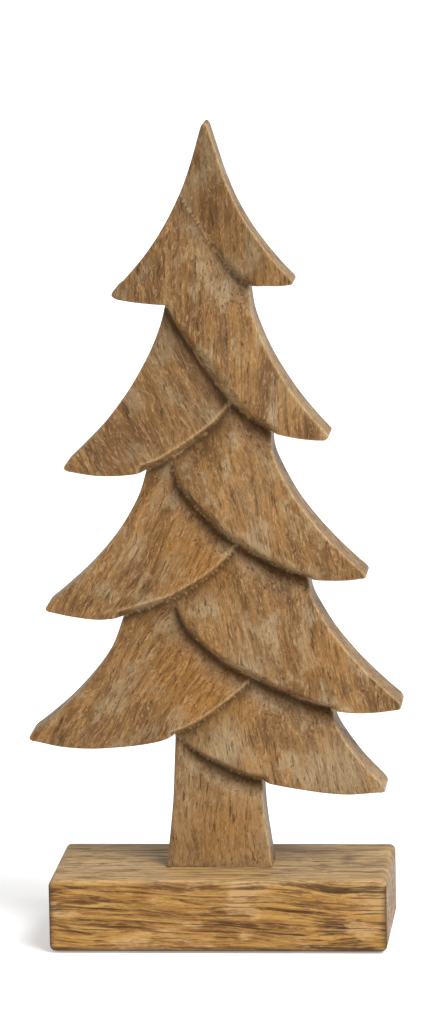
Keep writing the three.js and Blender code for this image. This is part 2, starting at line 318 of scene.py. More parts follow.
def evenly(points, step):
    """The same line with points about step apart."""
    points = np.asarray(points, float)
    lengths = np.r_[0, np.cumsum(np.linalg.norm(np.diff(points, axis=0), axis=1))]
    count = max(2, int(round(lengths[-1] / step)) + 1)
    at = np.linspace(0, lengths[-1], count)
    return np.column_stack([np.interp(at, lengths, points[:, axis]) for axis in range(2)])


def curve_through(points, step):
    """A Catmull-Rom curve through the points."""
    p = np.asarray(points, float)
    p = np.vstack([p[0], p, p[-1]])
    t = np.linspace(0, 1, 12, endpoint=False)[:, None]
    spans = []
    for a, b, c, d in zip(p, p[1:], p[2:], p[3:]):
        spans.append(b + 0.5 * t * ((c - a) + t * ((2 * a - 5 * b + 4 * c - d)
                     + t * (3 * (b - c) + d - a))))
    return evenly(np.vstack(spans + [p[-1:]]), step)


def nose_curve(start, corner, end, step):
    """A round end from start to end that turns at the corner."""
    start, corner, end = (np.asarray(point, float) for point in (start, corner, end))
    t = np.linspace(0, 1, 24)[:, None]
    return evenly((1 - t) ** 2 * start + 2 * t * (1 - t) * corner + t**2 * end, step)


def bough_edge(edge):
    """Crown, nose and under edge of one bough, as three lines from its top notch to its lower."""
    crown = curve_through(edge["crown"], OUTLINE_STEP)
    nose = nose_curve(edge["crown"][-1], edge["nose"], edge["under"][0], NOSE_STEP)
    under = curve_through(edge["under"], OUTLINE_STEP)
    return crown, nose, under


def tree_outline():
    """The whole outline, clockwise from the apex, with how far each point's edge is eased."""
    stretches = []
    apex = nose_curve(LEFT_EDGES[0]["crown"][0], APEX_NOSE, RIGHT_EDGES[0]["crown"][0], NOSE_STEP)
    stretches.append((apex, EDGE_EASE))
    for edge in RIGHT_EDGES:
        crown, nose, under = bough_edge(edge)
        stretches += [(crown, EDGE_EASE), (nose, EDGE_EASE), (under, UNDER_EASE)]
    stretches.append((curve_through(TRUNK_RIGHT, OUTLINE_STEP), TRUNK_RIGHT_EASE))
    stretches.append((evenly([TRUNK_RIGHT[-1], TRUNK_LEFT[0]], OUTLINE_STEP), FOOT_EASE))
    stretches.append((curve_through(TRUNK_LEFT, OUTLINE_STEP), TRUNK_LEFT_EASE))
    for edge in reversed(LEFT_EDGES):
        crown, nose, under = bough_edge(edge)
        stretches += [(under[::-1], UNDER_EASE), (nose[::-1], EDGE_EASE),
                      (crown[::-1], EDGE_EASE)]
    points = np.vstack([line for line, _ in stretches])
    ease = np.concatenate([np.full(len(line), size) for line, size in stretches])
    keep = np.linalg.norm(points - np.roll(points, 1, axis=0), axis=1) > 0.2
    return points[keep], ease[keep]


def inward_normals(loop):
    """Unit vectors into a clockwise loop."""
    along = unit(np.roll(loop, -1, axis=0) - np.roll(loop, 1, axis=0))
    return np.column_stack([along[:, 1], -along[:, 0]])


def limited_ease(loop, ease):
    """Ease that never passes the radius of a round end, smoothed along the loop."""
    ahead = unit(np.roll(loop, -1, axis=0) - loop)
    behind = unit(loop - np.roll(loop, 1, axis=0))
    turn = behind[:, 1] * ahead[:, 0] - behind[:, 0] * ahead[:, 1]
    span = np.linalg.norm(np.roll(loop, -1, axis=0) - np.roll(loop, 1, axis=0), axis=1) / 2
    radius = span / np.maximum(turn, 1e-3)
    ease = np.minimum(ease, 0.95 * radius)
    for reach in (1, 2):
        ease = np.minimum(ease, (np.roll(ease, reach) + np.roll(ease, -reach)) / 2)
    for _ in range(3):
        ease = (np.roll(ease, 1) + 2 * ease + np.roll(ease, -1)) / 4
    return ease


# ---- measuring on the face ----


def contains(loop, points):
    """Which points are inside a closed loop."""
    inside = np.zeros(len(points), bool)
    x, y = points[:, 0], points[:, 1]
    for (x0, y0), (x1, y1) in zip(loop, np.roll(loop, -1, axis=0)):
        if y0 == y1:
            continue
        crosses = (y0 > y) != (y1 > y)
        inside ^= crosses & (x < (x1 - x0) * (y - y0) / (y1 - y0) + x0)
    return inside


def nearest_on(line, points):
    """Distance to a line, and how far along it the nearest point is, from 0 to 1."""
    lengths = np.r_[0, np.cumsum(np.linalg.norm(np.diff(line, axis=0), axis=1))]
    best = np.full(len(points), np.inf)
    along = np.zeros(len(points))
    for i, (a, b) in enumerate(zip(line, line[1:])):
        d = b - a
        t = np.clip((points - a) @ d / (d @ d), 0, 1)
        far = np.linalg.norm(points - a - t[:, None] * d, axis=1)
        nearer = far < best
        best[nearer] = far[nearer]
        along[nearer] = (lengths[i] + t * np.linalg.norm(d))[nearer]
    return best, along / lengths[-1]


def wide_bough(edge, side):
    """Corners around a bough that run wide of its crown and nose. side is 1 on the right, -1 on
    the left."""
    crown = [(x + side * REGION_MARGIN, y + REGION_MARGIN) for x, y in edge["crown"]]
    nose = (edge["nose"][0] + side * REGION_MARGIN, edge["nose"][1])
    return crown + [nose] + edge["under"]


def face_region(face):
    """A closed loop that holds the face, run wide of the outline where the face ends in air."""
    crease = list(curve_through(face["crease"], REGION_STEP))
    if face["right"] is None:
        region = wide_bough(LEFT_EDGES[face["left"]], -1) + crease + face["root"]
    elif face["left"] is None:
        region = wide_bough(RIGHT_EDGES[face["right"]], 1) + crease + face["root"]
    else:
        left = wide_bough(LEFT_EDGES[face["left"]], -1)
        region = wide_bough(RIGHT_EDGES[face["right"]], 1) + crease
        region += left[::-1] + face["root"][::-1]
    return np.array(region, float)


for face in FACES:
    face["sides"] = [side for side in ("right", "left") if face[side] is not None]
    face["line"] = curve_through(face["crease"], 1.5)
    face["region"] = face_region(face)

WAVES = [(random.uniform(0.15, 0.5), random.uniform(0, math.tau), random.uniform(0, math.tau))
         for _ in range(7)]


def tool_waves(points):
    """Shallow uneven waves, as carving and sanding leave."""
    height = np.zeros(len(points))
    for pitch, heading, phase in WAVES:
        height += np.sin(pitch * (points @ [math.cos(heading), math.sin(heading)]) + phase)
    return TOOL_WAVE * height / math.sqrt(len(WAVES))


def trunk_depth(points):
    """Depth of the trunk, which comes forward at its foot and has a chisel step near its top."""
    flare = np.clip(1 - points[:, 1] / TRUNK_FACE["flare"], 0, 1) ** 2
    depth = TRUNK_FACE["depth"] * (1 - flare) + TRUNK_FACE["foot_depth"] * flare
    far, along = nearest_on(TRUNK_STEP, points)
    (x0, y0), (x1, y1) = TRUNK_STEP[0], TRUNK_STEP[-1]
    above = (x1 - x0) * (points[:, 1] - y0) - (y1 - y0) * (points[:, 0] - x0) > 0
    reach = np.sin(math.pi * along) * np.exp(-((far / STEP_REACH) ** 2))
    return depth + STEP_HEIGHT * np.where(above, reach, 0)


def crease_distances(points):
    """For each face: distance to its crease, the crease's depth there and its strip's width."""
    found = []
    for face in FACES:
        far, along = nearest_on(face["line"], points)
        drop = np.interp(along, (0, 0.5, 1), face["drop"])
        strip = np.interp(along, (0, 0.5, 1), face["strip"])
        found.append((far, drop, strip))
    return found


def hollowed(above, count):
    """How deep the creases above a face hollow it out."""
    deepest = np.zeros(count)
    for far, drop, _ in above:
        fade = np.clip(1 - far / SCOOP_REACH, 0, 1) ** SCOOP_POWER
        deepest = np.maximum(deepest, drop * fade)
    return deepest


def own_depth(face, points):
    """Depth of a face before anything hollows it."""
    tip = RIGHT_EDGES[face["right"]]["nose"] if "right" in face["sides"] else (
        LEFT_EDGES[face["left"]]["nose"])
    return face["depth"] + np.maximum((points - tip) @ np.array(face["lean"]), -1)


def crease_shade(far):
    """Painted shade below a crease: a thin dark line, and a wide shadow around it."""
    return 0.8 * np.exp(-far / 1.5) + 0.45 * np.exp(-far / 7)


def measure(points):
    """Depth of the carved face at each point, the face it is on, its distances from the top and
    the foot of that face's strip, and the painted shade that the creases near it cast."""
    count = len(points)
    creases = crease_distances(points)
    depth = np.maximum(hollowed(creases, count), trunk_depth(points))
    owner = np.full(count, len(FACES))
    brink = np.full(count, 99.0)
    foot = np.full(count, 99.0)
    shade = np.zeros(count)
    for number in reversed(range(len(FACES))):
        face = FACES[number]
        inside = contains(face["region"], points)
        far, drop, width = creases[number]
        own = np.maximum(own_depth(face, points), hollowed(creases[:number], count))
        step = np.clip((drop - own) / DEEP_STEP, 0, 1)
        rise = np.clip(far / width, 0, 1)
        if "right" in face["sides"]:
            rise = (rise + np.sin(rise * math.pi / 2)) / 2
        # painted shade: the step's shadow below the crease, and a darker cut slope above it
        under = step * crease_shade(far)
        slope = step * face.get("slope_shade", SLOPE_SHADE) * (1 - rise) ** 2
        shade = np.where(inside, np.where(far < width, slope, 0), np.maximum(shade, under))
        depth = np.where(inside, drop + (own - drop) * rise, depth)
        owner = np.where(inside, number, owner)
        brink = np.where(inside, np.abs(far - width), brink)
        foot = np.where(inside, far, foot)
    # painted shade below each crease, on every face that lies under it
    for number, (far, drop, _) in enumerate(creases):
        below = owner > number
        under = np.clip(drop / 8, 0, 1) * crease_shade(far)
        shade = np.where(below, np.maximum(shade, under), shade)
    return {"depth": depth, "owner": owner, "brink": brink, "foot": foot, "shade": shade}


# ---- solids ----


def search_tree(points):
    """Finds the nearest of some flat points quickly."""
    tree = kdtree.KDTree(len(points))
    for i, (x, y) in enumerate(points):
        tree.insert((x, y, 0), i)
    tree.balance()
    return tree


def fill_face(loop, lines, step):
    """Triangles over a loop, with points along the lines and evenly between."""
    low, high = loop.min(axis=0), loop.max(axis=0)
    rows = np.arange(low[1], high[1], step * math.sqrt(0.75))
    grid = []
    for i, y in enumerate(rows):
        across = np.arange(low[0] + (i % 2) * step / 2, high[0], step)
        grid.append(np.column_stack([across, np.full(len(across), y)]))
    grid = np.vstack(grid)
    grid = grid[contains(loop, grid)]
    lines = [line[contains(loop, line)] for line in lines]
    lines = [line for line in lines if len(line) > 1]
    fixed = np.vstack([loop] + lines)
    tree = search_tree(fixed)
    room = 0.62 * min(step, 1.5)
    grid = np.array([(x, y) for x, y in grid if tree.find((x, y, 0))[2] > room])
    points = np.vstack([fixed, grid]) if len(grid) else fixed
    edges = [(i, (i + 1) % len(loop)) for i in range(len(loop))]
    start = len(loop)
    for line in lines:
        edges += [(i, i + 1) for i in range(start, start + len(line) - 1)]
        start += len(line)
    found = delaunay_2d_cdt([Vector(p) for p in points], edges, [], 1, 1e-4)
    vertices, _, faces, originals = found[:4]
    place = {first: i for i, source in enumerate(originals) for first in source}
    rim = [place[i] for i in range(len(loop))]
    return np.array([tuple(v) for v in vertices]), [tuple(f) for f in faces], rim


def rounded_slab(outline, ease, front_of, back, lines, front_step, back_step):
    """A slab with a carved front and eased edges, as points [across, in, up], faces, and the
    place on the front that each point belongs to."""
    inward = inward_normals(outline)
    inner = outline + inward * ease[:, None]
    front, front_faces, front_rim = fill_face(inner, lines, front_step)
    rear, rear_faces, rear_rim = fill_face(inner, [], back_step)
    front_depth = front_of(front)
    rim_depth = front_depth[front_rim]
    count = len(outline)

    points = [np.column_stack([front[:, 0], front_depth, front[:, 1]])]
    plan = [front]
    rings = [np.array(front_rim)]
    start = len(front)

    def add_ring(flat, depth):
        nonlocal start
        points.append(np.column_stack([flat[:, 0], depth, flat[:, 1]]))
        plan.append(inner)
        rings.append(np.arange(start, start + count))
        start += count

    for row in range(1, EASE_ROWS + 1):
        turn = row / EASE_ROWS * math.pi / 2
        add_ring(inner - inward * (ease * math.sin(turn))[:, None],
                 rim_depth + ease * (1 - math.cos(turn)))
    for row in range(1, WALL_ROWS):
        share = row / WALL_ROWS
        add_ring(outline, (rim_depth + ease) * (1 - share) + (back - ease) * share)
    for row in range(EASE_ROWS):
        turn = row / EASE_ROWS * math.pi / 2
        add_ring(inner - inward * (ease * math.cos(turn))[:, None],
                 back - ease * (1 - math.sin(turn)))
    points.append(np.column_stack([rear[:, 0], np.full(len(rear), back), rear[:, 1]]))
    plan.append(rear)
    rings.append(start + np.array(rear_rim))

    faces = [tuple(face) for face in front_faces]
    for near, far in zip(rings, rings[1:]):
        following = np.roll(near, -1), np.roll(far, -1)
        faces += list(zip(near.tolist(), following[0].tolist(), following[1].tolist(), far.tolist()))
    faces += [tuple(start + i for i in reversed(face)) for face in rear_faces]
    return np.vstack(points), faces, np.vstack(plan)


def mesh_object(name, points, faces):
    """A smooth-shaded object from points in mm, with its faces turned out."""
    mesh = bpy.data.meshes.new(name)
    mesh.from_pydata((np.asarray(points) * MM).tolist(), [], faces)
    bm = bmesh.new()
    bm.from_mesh(mesh)
    bmesh.ops.recalc_face_normals(bm, faces=bm.faces)
    bm.to_mesh(mesh)
    bm.free()
    mesh.shade_smooth()
    obj = bpy.data.objects.new(name, mesh)
    bpy.context.scene.collection.objects.link(obj)
    return obj


def turned(name, profile, at, sides=48, radius_at=None):
    """A solid of revolution from [radius, height] pairs, with a point on the axis at each end.
    radius_at may change a ring's radius from angle to angle."""
    angles = np.arange(sides) / sides * math.tau
    points = [(0, 0, profile[0][1])]
    for radius, height in profile:
        around = np.full(sides, float(radius)) if radius_at is None else radius_at(
            radius, height, angles)
        points += list(zip(around * np.cos(angles), around * np.sin(angles), np.full(sides, height)))
    points.append((0, 0, profile[-1][1]))
    last = len(points) - 1
    faces = []
    for k in range(sides):
        after = (k + 1) % sides
        faces.append((0, 1 + after, 1 + k))
        faces.append((last, last - sides + k, last - sides + after))
        for start in range(1, last - sides, sides):
            faces.append((start + k, start + after, start + sides + after, start + sides + k))
    return mesh_object(name, np.array(points) + at, faces)


def wedge(name, mouth, end, depth, turn, at):
    """A tapered box from a mouth [length, width] at height 0 up to a smaller end."""
    points = []
    for (length, width), height in ((mouth, -0.5), (end, depth)):
        for x, y in ((-1, -1), (1, -1), (1, 1), (-1, 1)):
            points.append((x * length / 2, y * width / 2, height))
    cos, sin = math.cos(turn), math.sin(turn)
    spun = [(x * cos - y * sin, x * sin + y * cos, z) for x, y, z in points]
    faces = [(3, 2, 1, 0), (4, 5, 6, 7)]
    faces += [(k, (k + 1) % 4, 4 + (k + 1) % 4, 4 + k) for k in range(4)]
    return mesh_object(name, np.array(spun) + at, faces)


def cut(obj, tool):
    """Takes the tool's shape out of an object."""
    modifier = obj.modifiers.new("cut", "BOOLEAN")
    modifier.operation = "DIFFERENCE"
    modifier.solver = "EXACT"
    modifier.object = tool
    graph = bpy.context.evaluated_depsgraph_get()
    mesh = bpy.data.meshes.new_from_object(obj.evaluated_get(graph))
    obj.modifiers.clear()
    obj.data = mesh
    bpy.data.objects.remove(tool)


def give(obj, name, kind, domain, values):
    """Stores values on a mesh for its material to read."""
    layer = obj.data.attributes.new(name, kind, domain)
    key = "vector" if kind == "FLOAT_VECTOR" else "value"
    layer.data.foreach_set(key, np.asarray(values, np.float32).ravel())


def corner_points(obj):
    """Each face corner's point in mm, and the face that it is a corner of."""
    mesh = obj.data
    places = np.empty(len(mesh.vertices) * 3)
    mesh.vertices.foreach_get("co", places)
    corner_vertex = np.empty(len(mesh.loops), int)
    mesh.loops.foreach_get("vertex_index", corner_vertex)
    sizes = np.empty(len(mesh.polygons), int)
    mesh.polygons.foreach_get("loop_total", sizes)
    starts = np.empty(len(mesh.polygons), int)
    mesh.polygons.foreach_get("loop_start", starts)
    face_of = np.zeros(len(mesh.loops), int)
    face_of[starts] = 1
    face_of = np.cumsum(face_of) - 1
    return places.reshape(-1, 3) / MM, corner_vertex, face_of, sizes


def patches(points, spots):
    """How strongly soft round spots colour each point."""
    strength = np.zeros(len(points))
    for x, y, radius, most in spots:
        far = np.linalg.norm(points - [x, y], axis=1)
        strength = np.maximum(strength, most * np.exp(-((far / radius) ** 2)))
    return strength


# ---- shader building ----


def colour(code):
    """A linear colour from its usual hex code."""
    parts = [int(code[i : i + 2], 16) / 255 for i in (0, 2, 4)]
    return tuple(c / 12.92 if c <= 0.04045 else ((c + 0.055) / 1.055) ** 2.4 for c in parts) + (1,)


class Shader:
    """A material with a Principled shader, and short ways to add nodes to it."""

    def __init__(self, name):
        self.material = bpy.data.materials.new(name)
        self.material.use_nodes = True
        self.nodes = self.material.node_tree.nodes
        self.links = self.material.node_tree.links
        self.surface = self.nodes["Principled BSDF"]

    def put(self, socket, value):
        if isinstance(value, bpy.types.NodeSocket):
            self.links.new(value, socket)
        else:
            socket.default_value = value

    def attribute(self, name, output="Fac"):
        node = self.nodes.new("ShaderNodeAttribute")
        node.attribute_name = name
        return node.outputs[output]

    def place(self):
        return self.nodes.new("ShaderNodeTexCoord").outputs["Object"]

    def vectors(self, operation, a, b):
        node = self.nodes.new("ShaderNodeVectorMath")
        node.operation = operation
        self.put(node.inputs[0], a)
        self.put(node.inputs[1], b)
        return node.outputs[0]

    def stretched(self, vector, scale):
        return self.vectors("MULTIPLY", vector, scale)

    def plus(self, a, b):
        return self.vectors("ADD", a, b)

    def noise(self, vector, detail=3.0, rough=0.55, twist=0.0, output=0):
        node = self.nodes.new("ShaderNodeTexNoise")
        self.put(node.inputs["Vector"], vector)
        node.inputs["Scale"].default_value = 1.0
        node.inputs["Detail"].default_value = detail
        node.inputs["Roughness"].default_value = rough
        node.inputs["Distortion"].default_value = twist
        return node.outputs[output]

    def between(self, value, low, high, to_low=0.0, to_high=1.0):
        node = self.nodes.new("ShaderNodeMapRange")
        node.interpolation_type = "SMOOTHSTEP"
        self.put(node.inputs["Value"], value)
        node.inputs["From Min"].default_value = low
        node.inputs["From Max"].default_value = high
        node.inputs["To Min"].default_value = to_low
        node.inputs["To Max"].default_value = to_high
        return node.outputs["Result"]

    def maths(self, operation, a, b=0.0, c=0.0):
        node = self.nodes.new("ShaderNodeMath")
        node.operation = operation
        for socket, value in zip(node.inputs, (a, b, c)):
            self.put(socket, value)
        return node.outputs[0]

    def mix(self, amount, a, b):
        node = self.nodes.new("ShaderNodeMix")
        node.data_type = "RGBA"
        self.put(node.inputs["Factor"], amount)
        self.put(node.inputs[6], a)
        self.put(node.inputs[7], b)
        return node.outputs[2]

    def bump(self, height, strength, distance):
        node = self.nodes.new("ShaderNodeBump")
        node.inputs["Strength"].default_value = strength
        node.inputs["Distance"].default_value = distance
        self.put(node.inputs["Height"], height)
        self.links.new(node.outputs["Normal"], self.surface.inputs["Normal"])


def wood(name, dark, mid, light, grey, streak, curl, pores, cracks):
    """Oiled wood whose grain runs along the first axis of the attribute called grain, in mm."""
    s = Shader(name)
    grain = s.attribute("grain", "Vector")
    sway = s.noise(s.stretched(grain, (0.02, 0.05, 0.05)), detail=2, output=1)
    bent = s.plus(grain, s.stretched(s.plus(sway, (-0.5, -0.5, -0.5)), (10, 10, 10)))
    figure = s.noise(s.stretched(bent, (0.008, 0.08, 0.08)), detail=3)
    lines = s.noise(s.stretched(bent, (0.03, 0.42, 0.42)), detail=5, rough=0.65, twist=0.4)
    flecks = s.noise(s.stretched(bent, (0.2, 0.6, 0.6)), detail=4, rough=0.7, twist=1.8)
    strokes = s.noise(s.stretched(bent, (0.11, 0.85, 0.85)), detail=3, rough=0.6, twist=0.8)
    splits = s.noise(s.stretched(bent, (0.007, 0.75, 0.75)), detail=4, rough=0.65, twist=0.15)
    mottle = s.noise(s.stretched(grain, (0.05, 0.08, 0.08)), detail=5, rough=0.62)

    # broad bands, then grey and dark blotches
    body = s.mix(s.between(figure, 0.35, 0.65), dark, light)
    body = s.mix(0.45, body, mid)
    body = s.mix(s.between(mottle, 0.5, 0.62, 0.0, 0.85), body, grey)
    body = s.mix(s.between(mottle, 0.48, 0.36, 0.0, 0.5), body, dark)
    # the tints stored on the mesh
    tone = s.attribute("tone")
    body = s.mix(s.between(tone, 0.0, 1.0, 0.0, 0.6), body, grey)
    body = s.mix(s.between(tone, 0.0, -1.0, 0.0, 0.6), body, dark)
    body = s.mix(s.maths("MULTIPLY", s.attribute("warm"), 0.65), body, colour("a46f28"))
    # year lines, curls, splits and open pores
    strength = s.between(mottle, 0.4, 0.6, streak * 1.15, streak * 0.45)
    body = s.mix(s.maths("MULTIPLY", s.between(lines, 0.5, 0.6), strength), body, dark)
    body = s.mix(s.maths("MULTIPLY", s.between(lines, 0.5, 0.4), strength), body, light)
    body = s.mix(s.between(tone, 0.5, 1.0, 0.0, 0.45), body, grey)
    pale = colour("b8946a")
    body = s.mix(s.between(flecks, 0.52, 0.66, 0.0, curl), body, pale)
    body = s.mix(s.between(flecks, 0.48, 0.34, 0.0, curl), body, dark)
    body = s.mix(s.between(splits, 0.5, 0.62, 0.0, cracks), body, colour("3a220b"))
    holes = s.between(strokes, 0.57, 0.68)
    body = s.mix(s.maths("MULTIPLY", holes, pores), body, colour("2e1c0c"))

    # painted shade in creases and along edges, the block's dark knot, and edges paled by wear and
    # painted highlight
    shade_and_knot = s.maths("MULTIPLY", s.attribute("shade_and_knot"), s.between(mottle, 0.2, 0.6, 0.8, 1.0))
    body = s.mix(s.maths("MULTIPLY", shade_and_knot, 0.85), body, colour("402a10"))
    wear_and_highlight = s.maths("MULTIPLY", s.attribute("wear_and_highlight"), s.between(flecks, 0.35, 0.6, 0.3, 1.0))
    body = s.mix(s.maths("MULTIPLY", wear_and_highlight, 0.65), body, colour("c2a172"))
    s.put(s.surface.inputs["Base Color"], body)

    s.surface.inputs["Specular IOR Level"].default_value = 0.25
    rough = s.between(lines, 0.3, 0.7, 0.4, 0.55)
    s.put(s.surface.inputs["Roughness"], s.maths("ADD", rough, s.maths("MULTIPLY", holes, 0.2)))
    height = s.maths("MULTIPLY_ADD", lines, 0.5, s.maths("MULTIPLY", flecks, 0.7))
    height = s.maths("SUBTRACT", height, s.maths("MULTIPLY", holes, 0.5))
    s.bump(height, 0.7, 0.5 * MM)
    return s.material


# ---- the tree ----


def strip_top(face):
    """The line where a face breaks into the slope above its crease."""
    line = curve_through(face["crease"], CREASE_STEP)
    along = np.linspace(0, 1, len(line))
    width = np.interp(along, (0, 0.5, 1), face["strip"])
    heading = unit(np.gradient(line, axis=0))
    side = 1 if face["right"] is not None else -1
    return line + side * np.column_stack([heading[:, 1], -heading[:, 0]]) * width[:, None]


def grain_coordinates(points, lean, offset):
    """Points [across, in, up] turned so that the grain is the first axis, and shifted so that
    no two boughs show the same figure."""
    turn = np.radians(lean)
    along = points[:, 0] * np.sin(turn) + points[:, 2] * np.cos(turn)
    across = points[:, 0] * np.cos(turn) - points[:, 2] * np.sin(turn)
    return np.column_stack([along + GRAIN_SHIFT[0] * offset, across + GRAIN_SHIFT[1] * offset,
                            points[:, 1]])


def tree_front(points):
    """How far in the carved face lies."""
    depth = measure(points)["depth"] + tool_waves(points) * 0.5
    return BOARD_FRONT + np.maximum(depth, 0)


def tree_tints(obj, points, plan, outline):
    """Stores the tree's tints: pale, warm and dark wood, painted shade in the creases, recesses
    and near the back edge, a painted shadow line along the foot, walls painted paler as a sheen,
    and pale edges that are part wear and part painted highlight.
    """
    found = measure(plan)
    on_wall = np.clip((points[:, 1] - BOARD_FRONT - found["depth"] - 0.5) / 0.8, 0, 1)
    on_face = 1 - on_wall
    rim = nearest_loop(outline, points[:, [0, 2]])
    tones = np.array([face["tone"] for face in FACES] + [TRUNK_FACE["tone"]])
    tone = tones[found["owner"]] + patches(plan, PALE_PATCHES) - patches(plan, DARK_PATCHES)
    # painted shade: darker near the creases and deeper in the carved recesses
    shade_and_knot = np.clip(found["shade"] + 0.3 * np.clip(found["depth"] / 9, 0, 1), 0, 1)
    # painted shadow: a dark line along the foot, where the tree meets the block
    shade_and_knot = np.maximum(shade_and_knot, 0.8 * np.exp(-plan[:, 1] / FOOT_LINE))
    crisp = np.array([face["sides"] == ["left"] for face in FACES] + [False])[found["owner"]]
    lit_side = np.where(points[:, 0] > -3, 1.0, 0.4)  # painted highlight: edges on the right, towards the sun, are paler
    # pale edges, part wear and part painted highlight, along the outline, the top of each left face's
    # strip and each crease
    wear_and_highlight = np.maximum(lit_side * np.exp(-((rim / EDGE_WEAR_AND_HIGHLIGHT) ** 2)),
                      0.9 * crisp * np.exp(-((found["brink"] / EDGE_WEAR_AND_HIGHLIGHT) ** 2)))
    wear_and_highlight = np.maximum(wear_and_highlight, 0.5 * np.exp(-((found["foot"] / CREASE_HIGHLIGHT) ** 2)))
    # painted shade on the walls towards the back edge
    back_edge = np.clip((points[:, 1] - BOARD_BACK + 2) / 2, 0, 1)
    # the walls are painted paler and greyer, a painted sheen
    give(obj, "tone", "FLOAT", "POINT", tone * on_face + 0.6 * on_wall)
    give(obj, "warm", "FLOAT", "POINT", patches(plan, WARM_PATCHES) * on_face)
    give(obj, "shade_and_knot", "FLOAT", "POINT", shade_and_knot * on_face + 0.35 * back_edge * on_wall)
    give(obj, "wear_and_highlight", "FLOAT", "POINT", wear_and_highlight * on_face)


def tree_grain(obj, points, plan):
    """Stores the grain of the bough that each face of the mesh is on."""
    _, corner_vertex, face_of, sizes = corner_points(obj)
    vertex_plan = plan[corner_vertex]
    face_plan = np.column_stack([np.bincount(face_of, vertex_plan[:, axis]) for axis in range(2)])
    face_plan /= sizes[:, None]
    face_back = np.bincount(face_of, points[corner_vertex, 1]) / sizes > BOARD_BACK - 0.6
    leans = np.array([face["grain"] for face in FACES] + [TRUNK_FACE["grain"], 0])
    which = np.where(face_back, len(FACES) + 1, measure(face_plan)["owner"])[face_of]
    corners = points[corner_vertex]
    give(obj, "grain", "FLOAT_VECTOR", "CORNER", grain_coordinates(corners, leans[which], which))


def make_tree():
    """The carved board, with a hole for each screw."""
    outline, ease = tree_outline()
    ease = limited_ease(outline, ease)
    lines = [curve_through(face["crease"], CREASE_STEP)[1:] for face in FACES]
    lines += [strip_top(face)[1:] for face in FACES]
    points, faces, plan = rounded_slab(
        outline, ease, tree_front, BOARD_BACK, lines, FACE_STEP, BACK_STEP)
    obj = mesh_object("carved_tree", points + [0, 0, BLOCK_TOP], faces)
    tree_tints(obj, points, plan, outline)
    tree_grain(obj, points, plan)
    for x in screw_places:
        hole = [(HOLE_RADIUS, BLOCK_TOP - 1), (HOLE_RADIUS, screw_end + 0.4)]
        cut(obj, turned("screw_hole", hole, (x, 0, 0)))
    obj.data.materials.append(wood(
        "carved_wood", dark=colour("533616"), mid=colour("7e582d"), light=colour("a07845"),
        grey=colour("9b8461"), streak=0.4, curl=0.5, pores=0.65, cracks=0.25))
    return obj


def nearest_loop(loop, points):
    """Distance from each point to the nearest point of a loop."""
    tree = search_tree(loop)
    return np.array([tree.find((x, y, 0))[2] for x, y in points])


# ---- the block ----


def block_outline():
    """The block's front view with its corners rounded, clockwise."""
    low, high = block_low[[0, 2]], block_high[[0, 2]]
    corners = [(low[0], high[1]), (high[0], high[1]), (high[0], low[1]), (low[0], low[1])]
    middle = (low + high) / 2
    outline = []
    for number, corner in enumerate(corners):
        centre = corner + np.sign(middle - corner) * BLOCK_END_EASE
        for turn in np.linspace(0, math.pi / 2, BLOCK_CORNER_POINTS):
            angle = math.pi - number * math.pi / 2 - turn
            outline.append(centre + BLOCK_END_EASE * np.array([math.cos(angle), math.sin(angle)]))
    return evenly(np.array(outline + outline[:1]), BLOCK_OUTLINE_STEP)[:-1]


def block_grain(places):
    """Grain along the block, which parts around a knot on its top."""
    tilt = math.radians(GRAIN_TILT)
    along = places[:, 0] * math.cos(tilt) + places[:, 2] * math.sin(tilt)
    up = places[:, 2] * math.cos(tilt) - places[:, 0] * math.sin(tilt)
    inward = places[:, 1] - KNOT[1]
    far = np.linalg.norm(places[:, :2] - KNOT, axis=1)
    parted = inward * (1 - 0.75 * np.exp(-((far / KNOT_REACH) ** 2)))
    return np.column_stack([0.7 * along, up, parted])


def block_tints(obj, places):
    """Stores the block's tints: a paler top that is painted light from above, paler end grain, a
    warmer front, a dark knot, painted shade along the lower and side edges and on the ends, and
    pale top edges that are part wear and part painted highlight.
    """
    outside = np.abs(places - (block_low + block_high) / 2) - (block_high - block_low) / 2
    edge_gap = np.sort(outside, axis=1)[:, 1]
    on_top = np.clip((places[:, 2] - block_high[2] + TINT_REACH) / TINT_REACH, 0, 1)
    on_end = np.clip((np.abs(places[:, 0]) - block_high[0] + TINT_REACH) / TINT_REACH, 0, 1)
    knot = np.exp(-((np.linalg.norm(places[:, :2] - KNOT, axis=1) / KNOT_RADIUS) ** 2)) * on_top
    front = 1 - np.maximum(on_top, on_end)
    edge = np.exp(-((edge_gap / TINT_REACH) ** 2))
    top_edge = np.clip((places[:, 2] - block_high[2] + 2 * TINT_REACH) / TINT_REACH, 0, 1)
    # pale top edges, part wear and part painted highlight
    give(obj, "wear_and_highlight", "FLOAT", "POINT", 0.8 * edge * top_edge)
    # painted light: the top is paler, as light from above would make it; the ends are paler end grain
    give(obj, "tone", "FLOAT", "POINT", 0.9 * on_top + 0.2 * on_end)
    give(obj, "warm", "FLOAT", "POINT", 0.5 * front)
    # the knot is the wood's own dark; the darker lower and side edges and the darker ends are painted
    # shade
    give(obj, "shade_and_knot", "FLOAT", "POINT", np.maximum.reduce(
        [0.8 * knot, 1.1 * edge * (1 - top_edge), 0.12 * on_end]))


